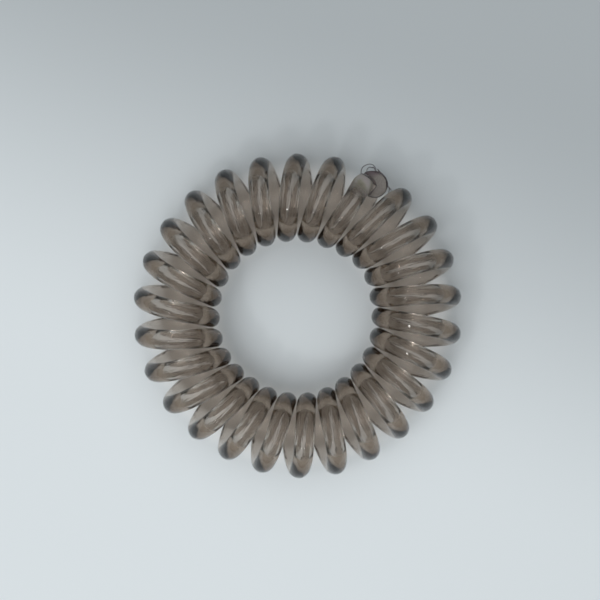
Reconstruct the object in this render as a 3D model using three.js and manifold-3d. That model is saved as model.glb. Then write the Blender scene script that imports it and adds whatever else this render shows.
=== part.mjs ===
// Spiral hair tie: one plastic cord wound into a tight coil, with the coil bent round into a ring
// and the two ends of the cord welded together. Millimetres, +Z up. The ring lies flat on z = 0,
// with the Z axis through the middle of its hole.

import {
  BufferAttribute,
  BufferGeometry,
  CatmullRomCurve3,
  Curve,
  Group,
  LatheGeometry,
  MathUtils,
  Matrix4,
  Mesh,
  MeshStandardMaterial,
  TubeGeometry,
  Vector2,
  Vector3,
} from 'three';
import { mergeVertices } from 'three/addons/utils/BufferGeometryUtils.js';
import Module from 'manifold-3d';

// Cord and coil
const CORD_D = 3.0; // width of the cord; its outer side is half round
const INNER_BULGE = 0.74; // how far its inner side bulges, as a share of the outer side
const COIL_BORE = 7.4; // width of the tunnel inside the turns before the cord's inner side is flattened
const TURNS = 26; // turns of cord round the whole ring
const TURN_GAP = 0.18; // mean gap between neighbouring turns, where they lie closest, at the hole
const FIRST_TURN = 6.9; // degrees from +X to the outermost point of the first turn

// Weld between the two ends of the cord, at the outermost point of one turn
const WELD_TURN = 4; // that turn, counted from the first as 0
const WELD_SLIP = 0.5; // how far the weld lies short of its turn's even place round the ring
const WELD_SINK = 0.6; // how far it lies nearer the ring's middle than the turns beside it
const WELD_STEP_IN = 0.75; // how far the end above the weld sits nearer the ring's middle
const WELD_STEP_ON = 0.9; // how far that end sits on round the ring
const WELD_BLEND = 0.25; // share of a turn over which it comes back to its even place
const FLASH_SLIP = 0.5; // how far the squeezed-out rim lies short of the end below the weld
const FLASH_REACH = 0.5; // how far that rim is wider than the cord's half width
const FLASH_ROOT = 0.7; // thickness of that rim where it leaves the cord
const FLASH_LIP = 0.2; // thickness at its edge

// How the worn ring has been pulled out of true, a row at equal steps round it from the first turn.
// The reaches are shares of the coil's radius, by which its outer and hole sides lie farther out.
// The slip is a share of one turn, by which the hole side has slid on round the ring.
const WEAR = [
  { outerReach: 0.02, holeReach: -0.09, slip: -0.05 },
  { outerReach: 0.11, holeReach: 0.0, slip: -0.02 },
  { outerReach: 0.05, holeReach: -0.1, slip: 0.0 },
  { outerReach: -0.04, holeReach: -0.06, slip: 0.07 },
  { outerReach: 0.02, holeReach: 0.0, slip: 0.12 },
  { outerReach: 0.03, holeReach: 0.06, slip: 0.13 },
  { outerReach: 0.05, holeReach: 0.06, slip: 0.11 },
  { outerReach: 0.0, holeReach: 0.06, slip: 0.07 },
  { outerReach: -0.07, holeReach: 0.0, slip: 0.03 },
  { outerReach: -0.07, holeReach: 0.03, slip: -0.02 },
  { outerReach: -0.01, holeReach: 0.03, slip: -0.07 },
  { outerReach: -0.07, holeReach: -0.03, slip: -0.1 },
  { outerReach: -0.01, holeReach: -0.04, slip: -0.08 },
];

// Fineness of the faceted solids
const STEPS_PER_TURN = 20;
const CORD_SIDES = 8;
const FLASH_SIDES = 24;

const coilRadius = (COIL_BORE + CORD_D) / 2;
const ringRadius = coilRadius + (TURNS * (CORD_D + TURN_GAP)) / (2 * Math.PI);
const restHeight = coilRadius + CORD_D / 2;

const wearCurve = new CatmullRomCurve3(
  WEAR.map((row) => new Vector3(row.outerReach, row.holeReach, row.slip)),
  true,
  'catmullrom',
);

// The middle of the cord, once round the ring: the coil's circle turns as it goes.
// It climbs on the outside, crosses over the top to the hole and comes back underneath.
class CoilPath extends Curve {
  getEvenPoint(share, target = new Vector3()) {
    const turned = 2 * Math.PI * TURNS * share;
    const outer = (1 + Math.cos(turned)) / 2;
    const hole = 1 - outer;
    const wear = wearCurve.getPoint(share);
    const reach = Math.cos(turned) + outer * wear.x + hole * wear.y;
    const weld = Math.abs(TURNS * share - WELD_TURN) < 0.5 ? outer : 0;
    const radius = ringRadius + coilRadius * reach - weld * WELD_SINK;
    const azimuth =
      MathUtils.degToRad(FIRST_TURN) +
      2 * Math.PI * (share + (hole * wear.z) / TURNS) -
      (weld * WELD_SLIP) / (ringRadius + coilRadius);
    return target.set(
      radius * Math.cos(azimuth),
      radius * Math.sin(azimuth),
      restHeight + coilRadius * Math.sin(turned),
    );
  }

  // The two ends were welded out of line, so the end above the weld sits aside of the one below
  getPoint(share, target = new Vector3()) {
    this.getEvenPoint(share, target);
    const past = (TURNS * share - WELD_TURN) / WELD_BLEND;
    if (past > 0.01 && past < 1) {
      const step = 1 - MathUtils.smoothstep(past, 0, 1);
      const outward = target.clone().setZ(0).normalize();
      target.addScaledVector(outward, -step * WELD_STEP_IN);
      target.addScaledVector(new Vector3(-outward.y, outward.x, 0), step * WELD_STEP_ON);
    }
    return target;
  }

  // Even steps of the turning angle put a step at the very bottom of every turn
  getPointAt(share, target) {
    return this.getPoint(share, target);
  }

  getTangentAt(share, target) {
    return this.getTangent(share, target);
  }

  // A change across the loop's seam is taken on round it, where three.js would stop at its end
  getTangent(share, target = new Vector3()) {
    const step = 1e-5;
    const ahead = this.getEvenPoint((share + step) % 1);
    const behind = this.getEvenPoint((share + 1 - step) % 1);
    return target.copy(ahead.sub(behind).normalize());
  }

  // The section keeps one corner pointing away from the coil's middle all the way, so it closes
  computeFrenetFrames(segments) {
    const tangents = [];
    const normals = [];
    const binormals = [];
    for (let i = 0; i <= segments; i++) {
      const share = (i % segments) / segments;
      const point = this.getEvenPoint(share);
      const middle = new Vector3(point.x, point.y, 0).setLength(ringRadius).setZ(restHeight);
      const tangent = this.getTangent(share);
      const binormal = tangent.clone().cross(point.sub(middle)).normalize();
      tangents.push(tangent);
      binormals.push(binormal);
      normals.push(binormal.clone().cross(tangent));
    }
    return { tangents, normals, binormals };
  }
}

const wasm = await Module();
wasm.setup();

function toSolid(geometry) {
  const bare = geometry.clone().deleteAttribute('normal').deleteAttribute('uv');
  const merged = mergeVertices(bare);
  const solidMesh = new wasm.Mesh({
    numProp: 3,
    vertProperties: Float32Array.from(merged.attributes.position.array),
    triVerts: Uint32Array.from(merged.index.array),
  });
  return new wasm.Manifold(solidMesh);
}

function toGeometry(solid) {
  const { vertProperties, triVerts } = solid.getMesh();
  const geometry = new BufferGeometry();
  geometry.setAttribute('position', new BufferAttribute(vertProperties, 3));
  geometry.setIndex(new BufferAttribute(triVerts, 1));
  geometry.computeVertexNormals();
  return geometry;
}

// The rod that the cord was wound on has left the side towards the coil's middle flatter
function flattenInner(geometry, placeOf) {
  const positions = geometry.attributes.position;
  const corner = new Vector3();
  for (let i = 0; i < positions.count; i++) {
    const { middle, outward } = placeOf(i);
    corner.fromBufferAttribute(positions, i).sub(middle);
    const inward = Math.min(0, corner.dot(outward));
    corner.addScaledVector(outward, (INNER_BULGE - 1) * inward).add(middle);
    positions.setXYZ(i, corner.x, corner.y, corner.z);
  }
  return geometry;
}

function windCord(path) {
  const steps = TURNS * STEPS_PER_TURN;
  const outwards = path.computeFrenetFrames(steps).normals;
  const tube = new TubeGeometry(path, steps, CORD_D / 2, CORD_SIDES, true);
  return flattenInner(tube, (i) => {
    const step = Math.floor(i / (CORD_SIDES + 1)) % steps;
    return { middle: path.getPoint(step / steps), outward: outwards[step] };
  });
}

// A disc across the cord that thins evenly from the cord's middle to the edge of the rim
function weldFlash(path) {
  const rim = CORD_D / 2 + FLASH_REACH;
  const taper = (FLASH_ROOT - FLASH_LIP) / 2 / FLASH_REACH;
  const halfMiddle = FLASH_ROOT / 2 + (taper * CORD_D) / 2;
  const outline = [
    new Vector2(0, -halfMiddle),
    new Vector2(rim, -FLASH_LIP / 2),
    new Vector2(rim, FLASH_LIP / 2),
    new Vector2(0, halfMiddle),
  ];
  const halfSide = Math.PI / FLASH_SIDES; // keeps the rim's corners off the cord's
  const disc = new LatheGeometry(outline, FLASH_SIDES, halfSide);
  const weldShare = (WELD_TURN / TURNS) % 1;
  const along = path.getTangent(weldShare);
  const outward = path.getPoint(weldShare).setZ(0).normalize();
  const across = outward.clone().cross(along).normalize();
  outward.crossVectors(along, across);
  disc.applyMatrix4(new Matrix4().makeBasis(outward, along, across));
  const middle = path.getPoint(weldShare).addScaledVector(across, FLASH_SLIP);
  return disc.translate(...middle);
}

const path = new CoilPath();
const weldedCord = toSolid(windCord(path)).add(toSolid(weldFlash(path)));

const smokyPlastic = new MeshStandardMaterial({ color: 0x6f665f, roughness: 0.15, metalness: 0 });
const coiledCord = new Mesh(toGeometry(weldedCord), smokyPlastic);
coiledCord.name = 'coiled_cord';

const hairTie = new Group();
hairTie.add(coiledCord);

export default hairTie;
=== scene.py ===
import math

import bmesh
import bpy
from mathutils import Matrix, Vector, noise


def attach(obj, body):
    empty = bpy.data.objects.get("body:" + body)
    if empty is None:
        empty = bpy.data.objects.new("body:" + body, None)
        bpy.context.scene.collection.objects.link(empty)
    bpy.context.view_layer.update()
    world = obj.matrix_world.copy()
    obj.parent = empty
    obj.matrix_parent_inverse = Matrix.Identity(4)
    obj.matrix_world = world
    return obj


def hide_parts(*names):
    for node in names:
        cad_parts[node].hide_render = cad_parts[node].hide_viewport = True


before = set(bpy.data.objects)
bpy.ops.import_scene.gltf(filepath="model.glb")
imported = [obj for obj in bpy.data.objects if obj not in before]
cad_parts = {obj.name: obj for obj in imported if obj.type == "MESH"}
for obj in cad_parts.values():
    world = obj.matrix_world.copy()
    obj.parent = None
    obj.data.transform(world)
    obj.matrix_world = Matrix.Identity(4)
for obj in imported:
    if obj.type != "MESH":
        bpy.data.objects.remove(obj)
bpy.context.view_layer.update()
scene = bpy.context.scene

# The camera looks straight down on the ring, as the photo does. The ring lies a little below and
# left of the middle of its frame, whose width is that at half the ring's height.
CAMERA_HEIGHT = 0.200
HALF_RING_HEIGHT = 0.0067
FRAME_WIDTH = 0.0920
SENSOR_WIDTH = 36.0
RING_IN_FRAME = Vector((-0.0003, -0.0024))

camera_data = bpy.data.cameras.new("camera")
camera_data.sensor_width = SENSOR_WIDTH
camera_data.lens = SENSOR_WIDTH * (CAMERA_HEIGHT - HALF_RING_HEIGHT) / FRAME_WIDTH
camera_data.clip_start = 0.01
camera = bpy.data.objects.new("camera", camera_data)
camera.location = (-RING_IN_FRAME.x, -RING_IN_FRAME.y, CAMERA_HEIGHT)
scene.collection.objects.link(camera)
scene.camera = camera

# The coiled cord is one length of smoky, see-through elastic plastic, wound into 26 turns on a rod
# that left its inner side flatter. The coil is bent into a ring and its two ends are welded.
CORD_D = 0.0030
INNER_BULGE = 0.74
COIL_BORE = 0.0074
TURNS = 26
TURN_GAP = 0.00018
FIRST_TURN = math.radians(6.9)
WELD_TURN = 4
WELD_SLIP = 0.0005
WELD_SINK = 0.0006
WELD_STEP_IN = 0.00075
WELD_STEP_ON = 0.0009
WELD_BLEND = 0.25
STEPS_PER_TURN = 96
CORD_SIDES = 36

# How far the worn ring is pulled out of true, a row at equal steps round it from the first turn:
# outer reach and hole reach as shares of the coil's radius, and the hole side's slip, of a turn
WEAR = [
    (0.02, -0.09, -0.05),
    (0.11, 0.00, -0.02),
    (0.05, -0.10, 0.00),
    (-0.04, -0.06, 0.07),
    (0.02, 0.00, 0.12),
    (0.03, 0.06, 0.13),
    (0.05, 0.06, 0.11),
    (0.00, 0.06, 0.07),
    (-0.07, 0.00, 0.03),
    (-0.07, 0.03, -0.02),
    (-0.01, 0.03, -0.07),
    (-0.07, -0.03, -0.10),
    (-0.01, -0.04, -0.08),
]

coil_radius = (COIL_BORE + CORD_D) / 2
ring_radius = coil_radius + TURNS * (CORD_D + TURN_GAP) / (2 * math.pi)
rest_height = coil_radius + CORD_D / 2
turn_length = 2 * math.pi * coil_radius
cord_length = TURNS * turn_length
weld_share = WELD_TURN / TURNS


def wear_at(share):
    """The three wear values at a share of the way round, on a smooth closed curve through the rows."""
    place = (share % 1) * len(WEAR)
    row = int(place)
    t = place - row
    before, start, end, after = (Vector(WEAR[(row + k) % len(WEAR)]) for k in (-1, 0, 1, 2))
    return 0.5 * (
        2 * start
        + (end - before) * t
        + (2 * before - 5 * start + 4 * end - after) * t**2
        + (3 * start - before - 3 * end + after) * t**3
    )


def cord_middle(share):
    """The middle of the cord at a share of the way round the ring."""
    turned = 2 * math.pi * TURNS * share
    outer = (1 + math.cos(turned)) / 2
    hole = 1 - outer
    outer_reach, hole_reach, slip = wear_at(share)
    weld = outer if abs(TURNS * (share % 1) - WELD_TURN) < 0.5 else 0
    reach = math.cos(turned) + outer * outer_reach + hole * hole_reach
    radius = ring_radius + coil_radius * reach - weld * WELD_SINK
    azimuth = FIRST_TURN + 2 * math.pi * (share + hole * slip / TURNS)
    azimuth -= weld * WELD_SLIP / (ring_radius + coil_radius)
    height = rest_height + coil_radius * math.sin(turned)
    return Vector((radius * math.cos(azimuth), radius * math.sin(azimuth), height))


def cord_frame(share):
    """A matrix at the cord's middle: X away from the coil's middle, Z along the cord."""
    middle = cord_middle(share)
    along = (cord_middle(share + 1e-5) - cord_middle(share - 1e-5)).normalized()
    coil_middle = Vector((middle.x, middle.y, 0)).normalized() * ring_radius
    coil_middle.z = rest_height
    across = along.cross(middle - coil_middle).normalized()
    outward = across.cross(along)
    placed = Matrix((outward, across, along)).transposed().to_4x4()
    placed.translation = middle
    return placed


def smooth_step(value):
    value = min(max(value, 0.0), 1.0)
    return value * value * (3 - 2 * value)


# The end above the weld sits aside of the one below, and a thin rim of plastic is squeezed out
# between them. The rim is wavy, and widest where the melt ran out. The upper end has a pinched edge
# towards the other side.
STEP_HEIGHT = 0.00006
FLASH_RADIUS = 0.0020
FLASH_SLIP = 0.0005
FLASH_HALF = 0.00012
FLASH_ROUNDING = 0.05
RUN_HEADING = math.radians(67)
RUN_REACH = 0.20
RUN_SHARPNESS = 6
PINCH_HEADING = math.radians(-62)
PINCH_SPREAD = math.radians(55)
PINCH_REACH = 0.00045
PINCH_LENGTH = 0.0006


def weld_step(above):
    """How far the cord is moved aside at a height above the weld, in its frame's X and Y."""
    rising = smooth_step(0.5 + above / STEP_HEIGHT)
    settling = 1 - smooth_step(above / (WELD_BLEND * turn_length))
    return rising * settling * Vector((-WELD_STEP_IN, WELD_STEP_ON, 0))


def rim_radius(heading):
    """How far the rim reaches from its own middle."""
    waves = 0.035 * math.sin(3 * heading + 0.6) + 0.02 * math.sin(7 * heading)
    run = max(0.0, math.cos(heading - RUN_HEADING)) ** RUN_SHARPNESS
    return FLASH_RADIUS * (1 + waves + RUN_REACH * run)


def flash_edge(place, direction, above):
    """Distance from a place to the edge of the rim, or 0 outside the rim's thickness."""
    if abs(above) > FLASH_HALF:
        return 0.0
    aside = place + Vector((0, FLASH_SLIP, 0))
    rounding = 1 - FLASH_ROUNDING * (above / FLASH_HALF) ** 2
    edge = direction
    # The rim's radius depends on the heading of the edge, which comes closer with each round
    for _ in range(3):
        radius = rim_radius(math.atan2(edge.y, edge.x)) * rounding
        across = aside.dot(direction)
        distance = -across + math.sqrt(across**2 + radius**2 - aside.length_squared)
        edge = aside + direction * distance
    return distance


def pinch(angle, above):
    """How far the pinched edge of the upper end stands out."""
    if above < FLASH_HALF:
        return 0.0
    off = abs((angle - PINCH_HEADING + math.pi) % (2 * math.pi) - math.pi)
    fading = 1 - smooth_step((above - FLASH_HALF) / PINCH_LENGTH)
    return PINCH_REACH * max(0.0, 1 - off / PINCH_SPREAD) * fading


def add_piece(name, mesh):
    """Makes a bmesh a smooth object of the scene, with its place in its mesh."""
    for face in mesh.faces:
        face.smooth = True
    data = bpy.data.meshes.new(name)
    mesh.to_mesh(data)
    mesh.free()
    piece = bpy.data.objects.new(name, data)
    scene.collection.objects.link(piece)
    return piece


# The cord's skin was drawn through a die, which left shallow lines along it, calmer at the weld.
# Its mesh is a grid bent round the cord and round the ring, with finer cuts through the rim.
DIE_LINE_DEPTH = 0.000030
DIE_LINE_LENGTH = 0.005
DIE_LINES_ROUND = 3.0
CALM_LENGTH = 0.002
WELD_CUT = 0.00002
WELD_CUTS = 40

weld_cuts = [k * WELD_CUT / cord_length for k in range(1, WELD_CUTS)]
clear_of_weld = 1.3 * weld_cuts[-1]
even_cuts = [k / (TURNS * STEPS_PER_TURN) for k in range(TURNS * STEPS_PER_TURN)]
cuts = [0.0, *weld_cuts]
cuts += [share for share in even_cuts if clear_of_weld < share < 1 - clear_of_weld]
cuts += [1 - share for share in reversed(weld_cuts)]

coil_mesh = bmesh.new()
cord_place = coil_mesh.verts.layers.float_vector.new("cord_place")
rubbed = coil_mesh.verts.layers.float.new("rubbed")
steps = len(cuts)
bmesh.ops.create_grid(coil_mesh, x_segments=steps, y_segments=CORD_SIDES, size=0.5)
frames = [cord_frame(weld_share + share) for share in cuts]
for vert in coil_mesh.verts:
    step = round((vert.co.x + 0.5) * steps) % steps
    angle = 2 * math.pi * (round((vert.co.y + 0.5) * CORD_SIDES) % CORD_SIDES) / CORD_SIDES
    share = cuts[step]
    above = (share if share < 0.5 else share - 1) * cord_length
    direction = Vector((math.cos(angle), math.sin(angle), 0))
    grooved = direction * DIE_LINES_ROUND
    grooved.z = share * cord_length / DIE_LINE_LENGTH
    calm = min(1.0, abs(above) / CALM_LENGTH)
    surface = direction * (CORD_D / 2 + DIE_LINE_DEPTH * noise.noise(grooved) * calm)
    if surface.x < 0:
        surface.x *= INNER_BULGE
    place = weld_step(above)
    outward = surface.normalized()
    surface = outward * max(surface.length + pinch(angle, above), flash_edge(place, outward, above))
    vert.co = frames[step] @ (place + surface)
    vert[cord_place] = direction * CORD_D / 2 + Vector((0, 0, share * cord_length))
    vert[rubbed] = math.sin(2 * math.pi * TURNS * (weld_share + share)) ** 2
bmesh.ops.remove_doubles(coil_mesh, verts=coil_mesh.verts, dist=1e-7)
bmesh.ops.recalc_face_normals(coil_mesh, faces=coil_mesh.faces)
coil = add_piece("coil", coil_mesh)


class Shade:
    """A socket in a node tree. Sums and products written on it add their Math nodes."""

    def __init__(self, tree, socket=None):
        self.tree = tree
        self.socket = socket

    def make(self, kind, settings, inputs, output=0):
        """Adds a node of a kind, with its settings and the values or links of its sockets."""
        node = self.tree.nodes.new("ShaderNode" + kind)
        for name, value in settings.items():
            setattr(node, name, value)
        for name, value in inputs.items():
            if isinstance(value, Shade):
                self.tree.links.new(value.socket, node.inputs[name])
            else:
                node.inputs[name].default_value = value
        return Shade(self.tree, node.outputs[output])

    def calculate(self, operation, first, second):
        return self.make("Math", {"operation": operation}, {0: first, 1: second})

    def __add__(self, other):
        return self.calculate("ADD", self, other)

    def __radd__(self, other):
        return self.calculate("ADD", other, self)

    def __mul__(self, other):
        return self.calculate("MULTIPLY", self, other)

    def __rmul__(self, other):
        return self.calculate("MULTIPLY", other, self)

    def rise(self, start, end, low=0.0, high=1.0, easing="SMOOTHSTEP"):
        """Goes from low to high while this value goes from start to end."""
        ends = {"From Min": start, "From Max": end, "To Min": low, "To Max": high}
        return self.make("MapRange", {"interpolation_type": easing}, {"Value": self, **ends})

    def mix(self, first, second):
        """Goes from the first colour to the second while this value goes from 0 to 1."""
        return self.make("Mix", {"data_type": "RGBA"}, {0: self, 6: first, 7: second}, 2)

    def feed(self, shader, name):
        """Links this socket to one of a shader's."""
        self.tree.links.new(self.socket, shader.inputs[name])


def new_finish(name):
    """A material with its shader, and a Shade to start its nodes from."""
    finish = bpy.data.materials.new(name)
    finish.use_nodes = True
    return finish, finish.node_tree.nodes["Principled BSDF"], Shade(finish.node_tree)


# The plastic is clear with a smoky tint that deepens with its thickness. Drawing lines too fine for
# the mesh run along it, most of them on the tops and undersides of the turns, where they rub.
SMOKE_COLOUR = (0.44, 0.33, 0.22, 1.0)
SMOKE_DENSITY = 335.0
STREAK_WIDTH = 0.00025
STREAK_LENGTH = 0.004
STREAK_DEPTH = 0.000065
LEAST_STREAKS = 0.1

smoky, smoky_shader, smoky_nodes = new_finish("smoky_plastic")
smoky_shader.inputs["Base Color"].default_value = (1.0, 1.0, 1.0, 1.0)
smoky_shader.inputs["Roughness"].default_value = 0.05
smoky_shader.inputs["IOR"].default_value = 1.47
smoky_shader.inputs["Transmission Weight"].default_value = 1.0
on_cord = smoky_nodes.make("Attribute", {"attribute_name": "cord_place"}, {}, "Vector")
stretched = on_cord.make(
    "VectorMath",
    {"operation": "MULTIPLY"},
    {0: on_cord, 1: (1 / STREAK_WIDTH, 1 / STREAK_WIDTH, 1 / STREAK_LENGTH)},
)
streaks = stretched.make("TexNoise", {}, {"Vector": stretched, "Scale": 1.0, "Detail": 1.0})
top_and_bottom = smoky_nodes.make("Attribute", {"attribute_name": "rubbed"}, {}, "Fac")
streak_height = streaks * (LEAST_STREAKS + (1 - LEAST_STREAKS) * top_and_bottom)
grooves = streak_height.make(
    "Bump", {}, {"Height": streak_height, "Distance": STREAK_DEPTH, "Strength": 1.0}
)
grooves.feed(smoky_shader, "Normal")
smoke = smoky_nodes.make(
    "VolumeAbsorption", {}, {"Color": SMOKE_COLOUR, "Density": SMOKE_DENSITY}, "Volume"
)
smoke.feed(smoky.node_tree.nodes["Material Output"], "Volume")
coil.data.materials.append(smoky)

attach(coil, "root")
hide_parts("coiled_cord")

# Where the two melted ends met, the plastic set cloudy: a thin skin lies over the squeezed-out rim
# and runs in under the end above it. It is the same plastic, full of tiny bubbles, and scorched
# darker where the melt ran out.
SKIN_SHARE = 0.96
SKIN_HALF = 0.00004
SKIN_LIFT = 0.8
SKIN_LUMPS = 2500
SKIN_LUMP_HEIGHT = 0.5
BUBBLE_SCALE = 4000.0
CLOUDY_DARK = (0.12, 0.10, 0.09, 1.0)
CLOUDY_LIGHT = (0.30, 0.275, 0.25, 1.0)
SCORCHED_RIM = (0.10, 0.062, 0.075, 1.0)
SCORCH_HEADING = math.radians(42)
SCORCH_FROM = 0.0008
SCORCH_TO = 0.0019
SCORCH_STRENGTH = 0.8

rim_middle = frames[0] @ Vector((0, -FLASH_SLIP, 0))
scorch_way = frames[0].to_3x3() @ Vector((math.cos(SCORCH_HEADING), math.sin(SCORCH_HEADING), 0))
skin_mesh = bmesh.new()
bmesh.ops.create_uvsphere(skin_mesh, u_segments=40, v_segments=12, radius=SKIN_SHARE)
for vert in skin_mesh.verts:
    rim = rim_radius(math.atan2(vert.co.y, vert.co.x))
    flat = Vector((vert.co.x * rim, vert.co.y * rim - FLASH_SLIP, 0))
    lumps = SKIN_LUMP_HEIGHT * noise.noise(flat * SKIN_LUMPS)
    flat.z = FLASH_HALF + SKIN_HALF * (SKIN_LIFT + vert.co.z + lumps)
    vert.co = frames[0] @ flat
skin = add_piece("weld_skin", skin_mesh)

cloudy, cloudy_shader, cloudy_nodes = new_finish("cloudy_plastic")
in_skin = cloudy_nodes.make("TexCoord", {}, {}, "Object")
bubbles = in_skin.make("TexNoise", {}, {"Vector": in_skin, "Scale": BUBBLE_SCALE, "Detail": 3.0})
outwards = in_skin.make(
    "VectorMath", {"operation": "DOT_PRODUCT"}, {0: in_skin, 1: scorch_way}, "Value"
)
middle = rim_middle.dot(scorch_way)
scorched = outwards.rise(middle + SCORCH_FROM, middle + SCORCH_TO)
skin_colour = bubbles.mix(CLOUDY_DARK, CLOUDY_LIGHT)
skin_colour = (SCORCH_STRENGTH * scorched).mix(skin_colour, SCORCHED_RIM)
skin_colour.feed(cloudy_shader, "Base Color")
cloudy_shader.inputs["Roughness"].default_value = 0.4
cloudy_shader.inputs["Alpha"].default_value = 0.85
skin.data.materials.append(cloudy)

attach(skin, "root")

# The end above the weld is milky too, where it was hot, and clears again a few millimetres up. A
# crease arches over its outer side, and the plastic between that and the weld is scorched.
MILKY_LENGTH = 0.0066
MILKY_PROUD = 0.00004
MILKY_STEPS = 60
CREASE_TOP = 0.0026
CREASE_HEADING = math.radians(-3)
CREASE_SPREAD = math.radians(64)
SCORCH_EDGE = 0.0003
CLOUD_SCALE = 700.0
MILKY_YELLOW = (0.39, 0.36, 0.28, 1.0)
MILKY_PINK = (0.46, 0.395, 0.38, 1.0)
SCORCHED_END = (0.17, 0.13, 0.135, 1.0)
SCORCHED_COVER = 0.85
MILKY_COVER = 0.90


def crease_height(angle):
    """Height of the crease above the weld, at an angle round the cord. Below 0 there is none."""
    off = (angle - CREASE_HEADING + math.pi) % (2 * math.pi) - math.pi
    return CREASE_TOP * (1 - (off / CREASE_SPREAD) ** 2)


def on_upper_end(above, angle):
    """A place on the milky skin round the end above the weld."""
    surface = Vector((math.cos(angle), math.sin(angle), 0)) * (CORD_D / 2 + MILKY_PROUD)
    if surface.x < 0:
        surface.x *= INNER_BULGE
    surface = surface * (1 + pinch(angle, above) / surface.length)
    return cord_frame(weld_share + above / cord_length) @ (weld_step(above) + surface)


milky_mesh = bmesh.new()
milkiness = milky_mesh.verts.layers.float.new("milkiness")
scorched_end = milky_mesh.verts.layers.float.new("scorched_end")
bmesh.ops.create_grid(milky_mesh, x_segments=MILKY_STEPS, y_segments=CORD_SIDES, size=0.5)
for vert in milky_mesh.verts:
    up = vert.co.x + 0.5
    above = FLASH_HALF + up * MILKY_LENGTH
    angle = 2 * math.pi * (vert.co.y + 0.5)
    vert.co = on_upper_end(above, angle)
    vert[milkiness] = 1 - up
    vert[scorched_end] = smooth_step(0.5 + (crease_height(angle) - above) / SCORCH_EDGE)
bmesh.ops.remove_doubles(milky_mesh, verts=milky_mesh.verts, dist=1e-7)
bmesh.ops.recalc_face_normals(milky_mesh, faces=milky_mesh.faces)
milky_end = add_piece("milky_end", milky_mesh)

milky, milky_shader, milky_nodes = new_finish("milky_plastic")
in_end = milky_nodes.make("TexCoord", {}, {}, "Object")
clouds = in_end.make("TexNoise", {}, {"Vector": in_end, "Scale": CLOUD_SCALE, "Detail": 3.0})
cloudiness = milky_nodes.make("Attribute", {"attribute_name": "milkiness"}, {}, "Fac")
under_crease = milky_nodes.make("Attribute", {"attribute_name": "scorched_end"}, {}, "Fac")
milky_colour = clouds.rise(0.35, 0.65, easing="LINEAR").mix(MILKY_YELLOW, MILKY_PINK)
milky_colour = (SCORCHED_COVER * under_crease).mix(milky_colour, SCORCHED_END)
milky_colour.feed(milky_shader, "Base Color")
cover = MILKY_COVER * (cloudiness * (0.6 + clouds)).rise(0.0, 0.4, easing="LINEAR")
cover.feed(milky_shader, "Alpha")
milky_shader.inputs["Roughness"].default_value = 0.3
milky_end.data.materials.append(milky)

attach(milky_end, "root")

# Fine strings of melted plastic were drawn out at the weld and set dark where they hung, and a bead
# of it runs along the rim. Each has its half thickness and the places that it passes, in
# millimetres to the right of, beyond and above the middle of the rim.
THREADS = [
    (
        0.055,
        (-1.92, 1.40, 0.0),
        (-2.01, 1.90, 0.1),
        (-1.83, 2.53, 0.2),
        (-1.13, 3.02, 0.3),
        (-0.41, 3.07, 0.3),
        (0.09, 2.69, 0.2),
        (0.40, 1.90, 0.0),
    ),
    (
        0.060,
        (-1.10, 1.55, 0.0),
        (-1.05, 2.40, 0.1),
        (-0.66, 2.66, 0.2),
        (-0.34, 2.57, 0.2),
        (-0.14, 2.64, 0.1),
        (0.12, 2.32, 0.0),
        (0.31, 1.85, 0.0),
    ),
    (
        0.130,
        (0.52, 2.38, 0.1),
        (0.80, 1.95, 0.05),
        (1.22, 1.60, 0.0),
        (1.64, 1.12, 0.0),
        (1.92, 0.55, 0.0),
        (2.02, 0.0, 0.0),
        (1.98, -0.50, 0.0),
    ),
    (
        0.095,
        (2.00, -0.30, 0.0),
        (1.78, -0.92, 0.0),
        (1.25, -1.52, 0.0),
        (0.60, -1.88, 0.0),
        (-0.05, -1.97, 0.0),
        (-0.90, -1.78, 0.0),
    ),
    (0.085, (0.37, -0.13, 0.25), (-0.10, -0.82, 0.22), (-0.62, -1.48, 0.2), (-0.88, -1.78, 0.05)),
    (0.065, (1.95, -0.15, 0.0), (2.18, -0.34, 0.1), (2.50, -0.72, 0.1), (2.83, -1.12, 0.0)),
    (0.060, (2.16, -0.30, 0.1), (2.30, -0.60, 0.1), (2.22, -1.24, -0.1), (2.09, -2.02, -0.4)),
]
THREAD_END = 0.6
CREASE_HALF = 0.085
CREASE_START = math.radians(50)
CREASE_END = math.radians(-66)
CREASE_POINTS = 12
CLOT_SCALE = 3000.0
MELT_DARK = (0.022, 0.018, 0.020, 1.0)
MELT_LIGHT = (0.10, 0.085, 0.09, 1.0)

thread_data = bpy.data.curves.new("melt_threads", "CURVE")
thread_data.dimensions = "3D"
thread_data.bevel_depth = 0.001
thread_data.bevel_resolution = 3
thread_data.use_fill_caps = True


def add_thread(half_thickness, end_share, places):
    """Draws a thread through places, its ends a share as thick as the rest."""
    thread = thread_data.splines.new("BEZIER")
    thread.bezier_points.add(len(places) - 1)
    for point, place in zip(thread.bezier_points, places):
        point.co = place
        point.handle_left_type = point.handle_right_type = "AUTO"
        point.radius = half_thickness
    thread.bezier_points[0].radius *= end_share
    thread.bezier_points[-1].radius *= end_share


for half_thickness, *places in THREADS:
    places = [rim_middle + Vector(place) / 1000 for place in places]
    add_thread(half_thickness, THREAD_END, places)

# The crease is drawn as a thread too, from the left of the rim over the outer side of the end to
# its pinched edge
crease_places = []
for k in range(CREASE_POINTS):
    angle = CREASE_START + (CREASE_END - CREASE_START) * k / (CREASE_POINTS - 1)
    crease_places.append(on_upper_end(max(crease_height(angle), FLASH_HALF), angle))
add_thread(CREASE_HALF, 1.0, crease_places)
threads = bpy.data.objects.new("melt_threads", thread_data)
scene.collection.objects.link(threads)

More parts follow.
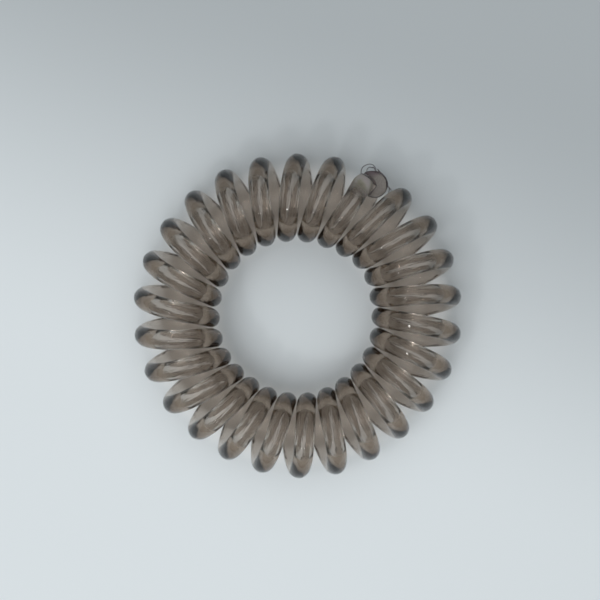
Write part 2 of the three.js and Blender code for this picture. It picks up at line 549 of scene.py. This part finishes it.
melt, melt_shader, melt_nodes = new_finish("dark_melt")
in_melt = melt_nodes.make("TexCoord", {}, {}, "Object")
clots = in_melt.make("TexNoise", {}, {"Vector": in_melt, "Scale": CLOT_SCALE, "Detail": 2.0})
clots.mix(MELT_DARK, MELT_LIGHT).feed(melt_shader, "Base Color")
melt_shader.inputs["Roughness"].default_value = 0.35
thread_data.materials.append(melt)

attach(threads, "root")

# The floor is a plain pale surface with light and shade painted into its colour: brighter towards
# the lamp, dimmer away from it and far out, and painted shade a little darker in the hole of the
# ring. A painted glow that the floor gives off itself stands in for the light that the clear
# plastic gathers, as a soft pale band under the ring.
FLOOR_HALF = 4.0
AWAY_FROM_LIGHT = (0.35, 0.94, 0.0)
FLOOR_PAINTED_LIT = (0.76, 0.80, 0.82, 1.0)
FLOOR_PAINTED_SHADE = (0.465, 0.495, 0.512, 1.0)
FLOOR_PAINTED_FALLOFF = (0.34, 0.36, 0.37, 1.0)
PAINTED_HOLE_SHADE = 0.90
PAINTED_GLOW_TINT = (0.90, 0.88, 0.85)
PAINTED_GLOW_STRENGTH = 0.168

floor_mesh = bmesh.new()
bmesh.ops.create_grid(floor_mesh, x_segments=1, y_segments=1, size=FLOOR_HALF)
floor = add_piece("floor", floor_mesh)

pale, pale_shader, pale_nodes = new_finish("pale_floor")
pale_shader.inputs["Roughness"].default_value = 0.8
pale_shader.inputs["Specular IOR Level"].default_value = 0.2
on_floor = pale_nodes.make("TexCoord", {}, {}, "Object")
away = on_floor.make(
    "VectorMath", {"operation": "DOT_PRODUCT"}, {0: on_floor, 1: AWAY_FROM_LIGHT}, "Value"
)
from_middle = on_floor.make("VectorMath", {"operation": "LENGTH"}, {0: on_floor}, "Value")
# Painted light and shade: lighter towards the lamp, darker away from it and far from the ring
painted_floor_shading = away.rise(-0.020, 0.048).mix(FLOOR_PAINTED_LIT, FLOOR_PAINTED_SHADE)
painted_floor_shading = from_middle.rise(0.065, 0.25).mix(painted_floor_shading, FLOOR_PAINTED_FALLOFF)
# Painted shade: the floor's colour is darker in the hole of the ring
painted_hole_shade = from_middle.rise(0.0095, 0.0140, PAINTED_HOLE_SHADE, 1.0)
painted_floor_shading = painted_floor_shading.make(
    "VectorMath", {"operation": "SCALE"}, {0: painted_floor_shading, "Scale": painted_hole_shade}, "Vector"
)
painted_floor_shading.feed(pale_shader, "Base Color")

# Painted light: a glow the floor gives off under the ring, for light passing through the plastic
painted_glow_past_hole = from_middle.rise(0.0110, 0.0140, 0.0, PAINTED_GLOW_STRENGTH)
painted_glow_short_of_edge = from_middle.rise(0.0222, 0.0250, 1.0, 0.0)
painted_glow_under_ring = painted_glow_past_hole * painted_glow_short_of_edge
painted_glow_colour = painted_glow_under_ring.make(
    "VectorMath", {"operation": "SCALE"}, {0: PAINTED_GLOW_TINT, "Scale": painted_glow_under_ring}, "Vector"
)
painted_glow_colour.feed(pale_shader, "Emission Color")
pale_shader.inputs["Emission Strength"].default_value = 1.0
floor.data.materials.append(pale)

# Soft studio light: a bright ceiling that darkens towards the horizon, and a broad lamp to the
# lower left of the ring, as in the photo. The plastic doesn't mirror the broad lamp, but a small
# one beside it, which gives it thin glints.
CEILING_COLOUR = (0.93, 0.98, 1.0, 1.0)
HORIZON_LIGHT = 0.03

world = bpy.data.worlds.new("soft_light")
world.use_nodes = True
background = world.node_tree.nodes["Background"]
background.inputs["Color"].default_value = CEILING_COLOUR
world_nodes = Shade(world.node_tree)
sky_direction = world_nodes.make("TexCoord", {}, {}, "Generated")
sky_height = sky_direction.make("SeparateXYZ", {}, {"Vector": sky_direction}, "Z")
sky_height.rise(0.4, 1.0, HORIZON_LIGHT, 1.0).feed(background, "Strength")
scene.world = world
scene.view_settings.view_transform = "Standard"


def add_lamp(name, size, energy, place):
    """A round lamp that shines at the middle of the ring."""
    lamp_data = bpy.data.lights.new(name, "AREA")
    lamp_data.shape = "DISK"
    lamp_data.size = size
    lamp_data.energy = energy
    lamp = bpy.data.objects.new(name, lamp_data)
    lamp.location = place
    lamp.rotation_euler = Vector(place).to_track_quat("Z", "Y").to_euler()
    scene.collection.objects.link(lamp)
    return lamp


broad_lamp = add_lamp("lamp", 0.40, 0.95, (-0.10, -0.14, 0.45))
broad_lamp.visible_glossy = False
add_lamp("glint", 0.045, 0.13, (-0.16, -0.22, 0.36))
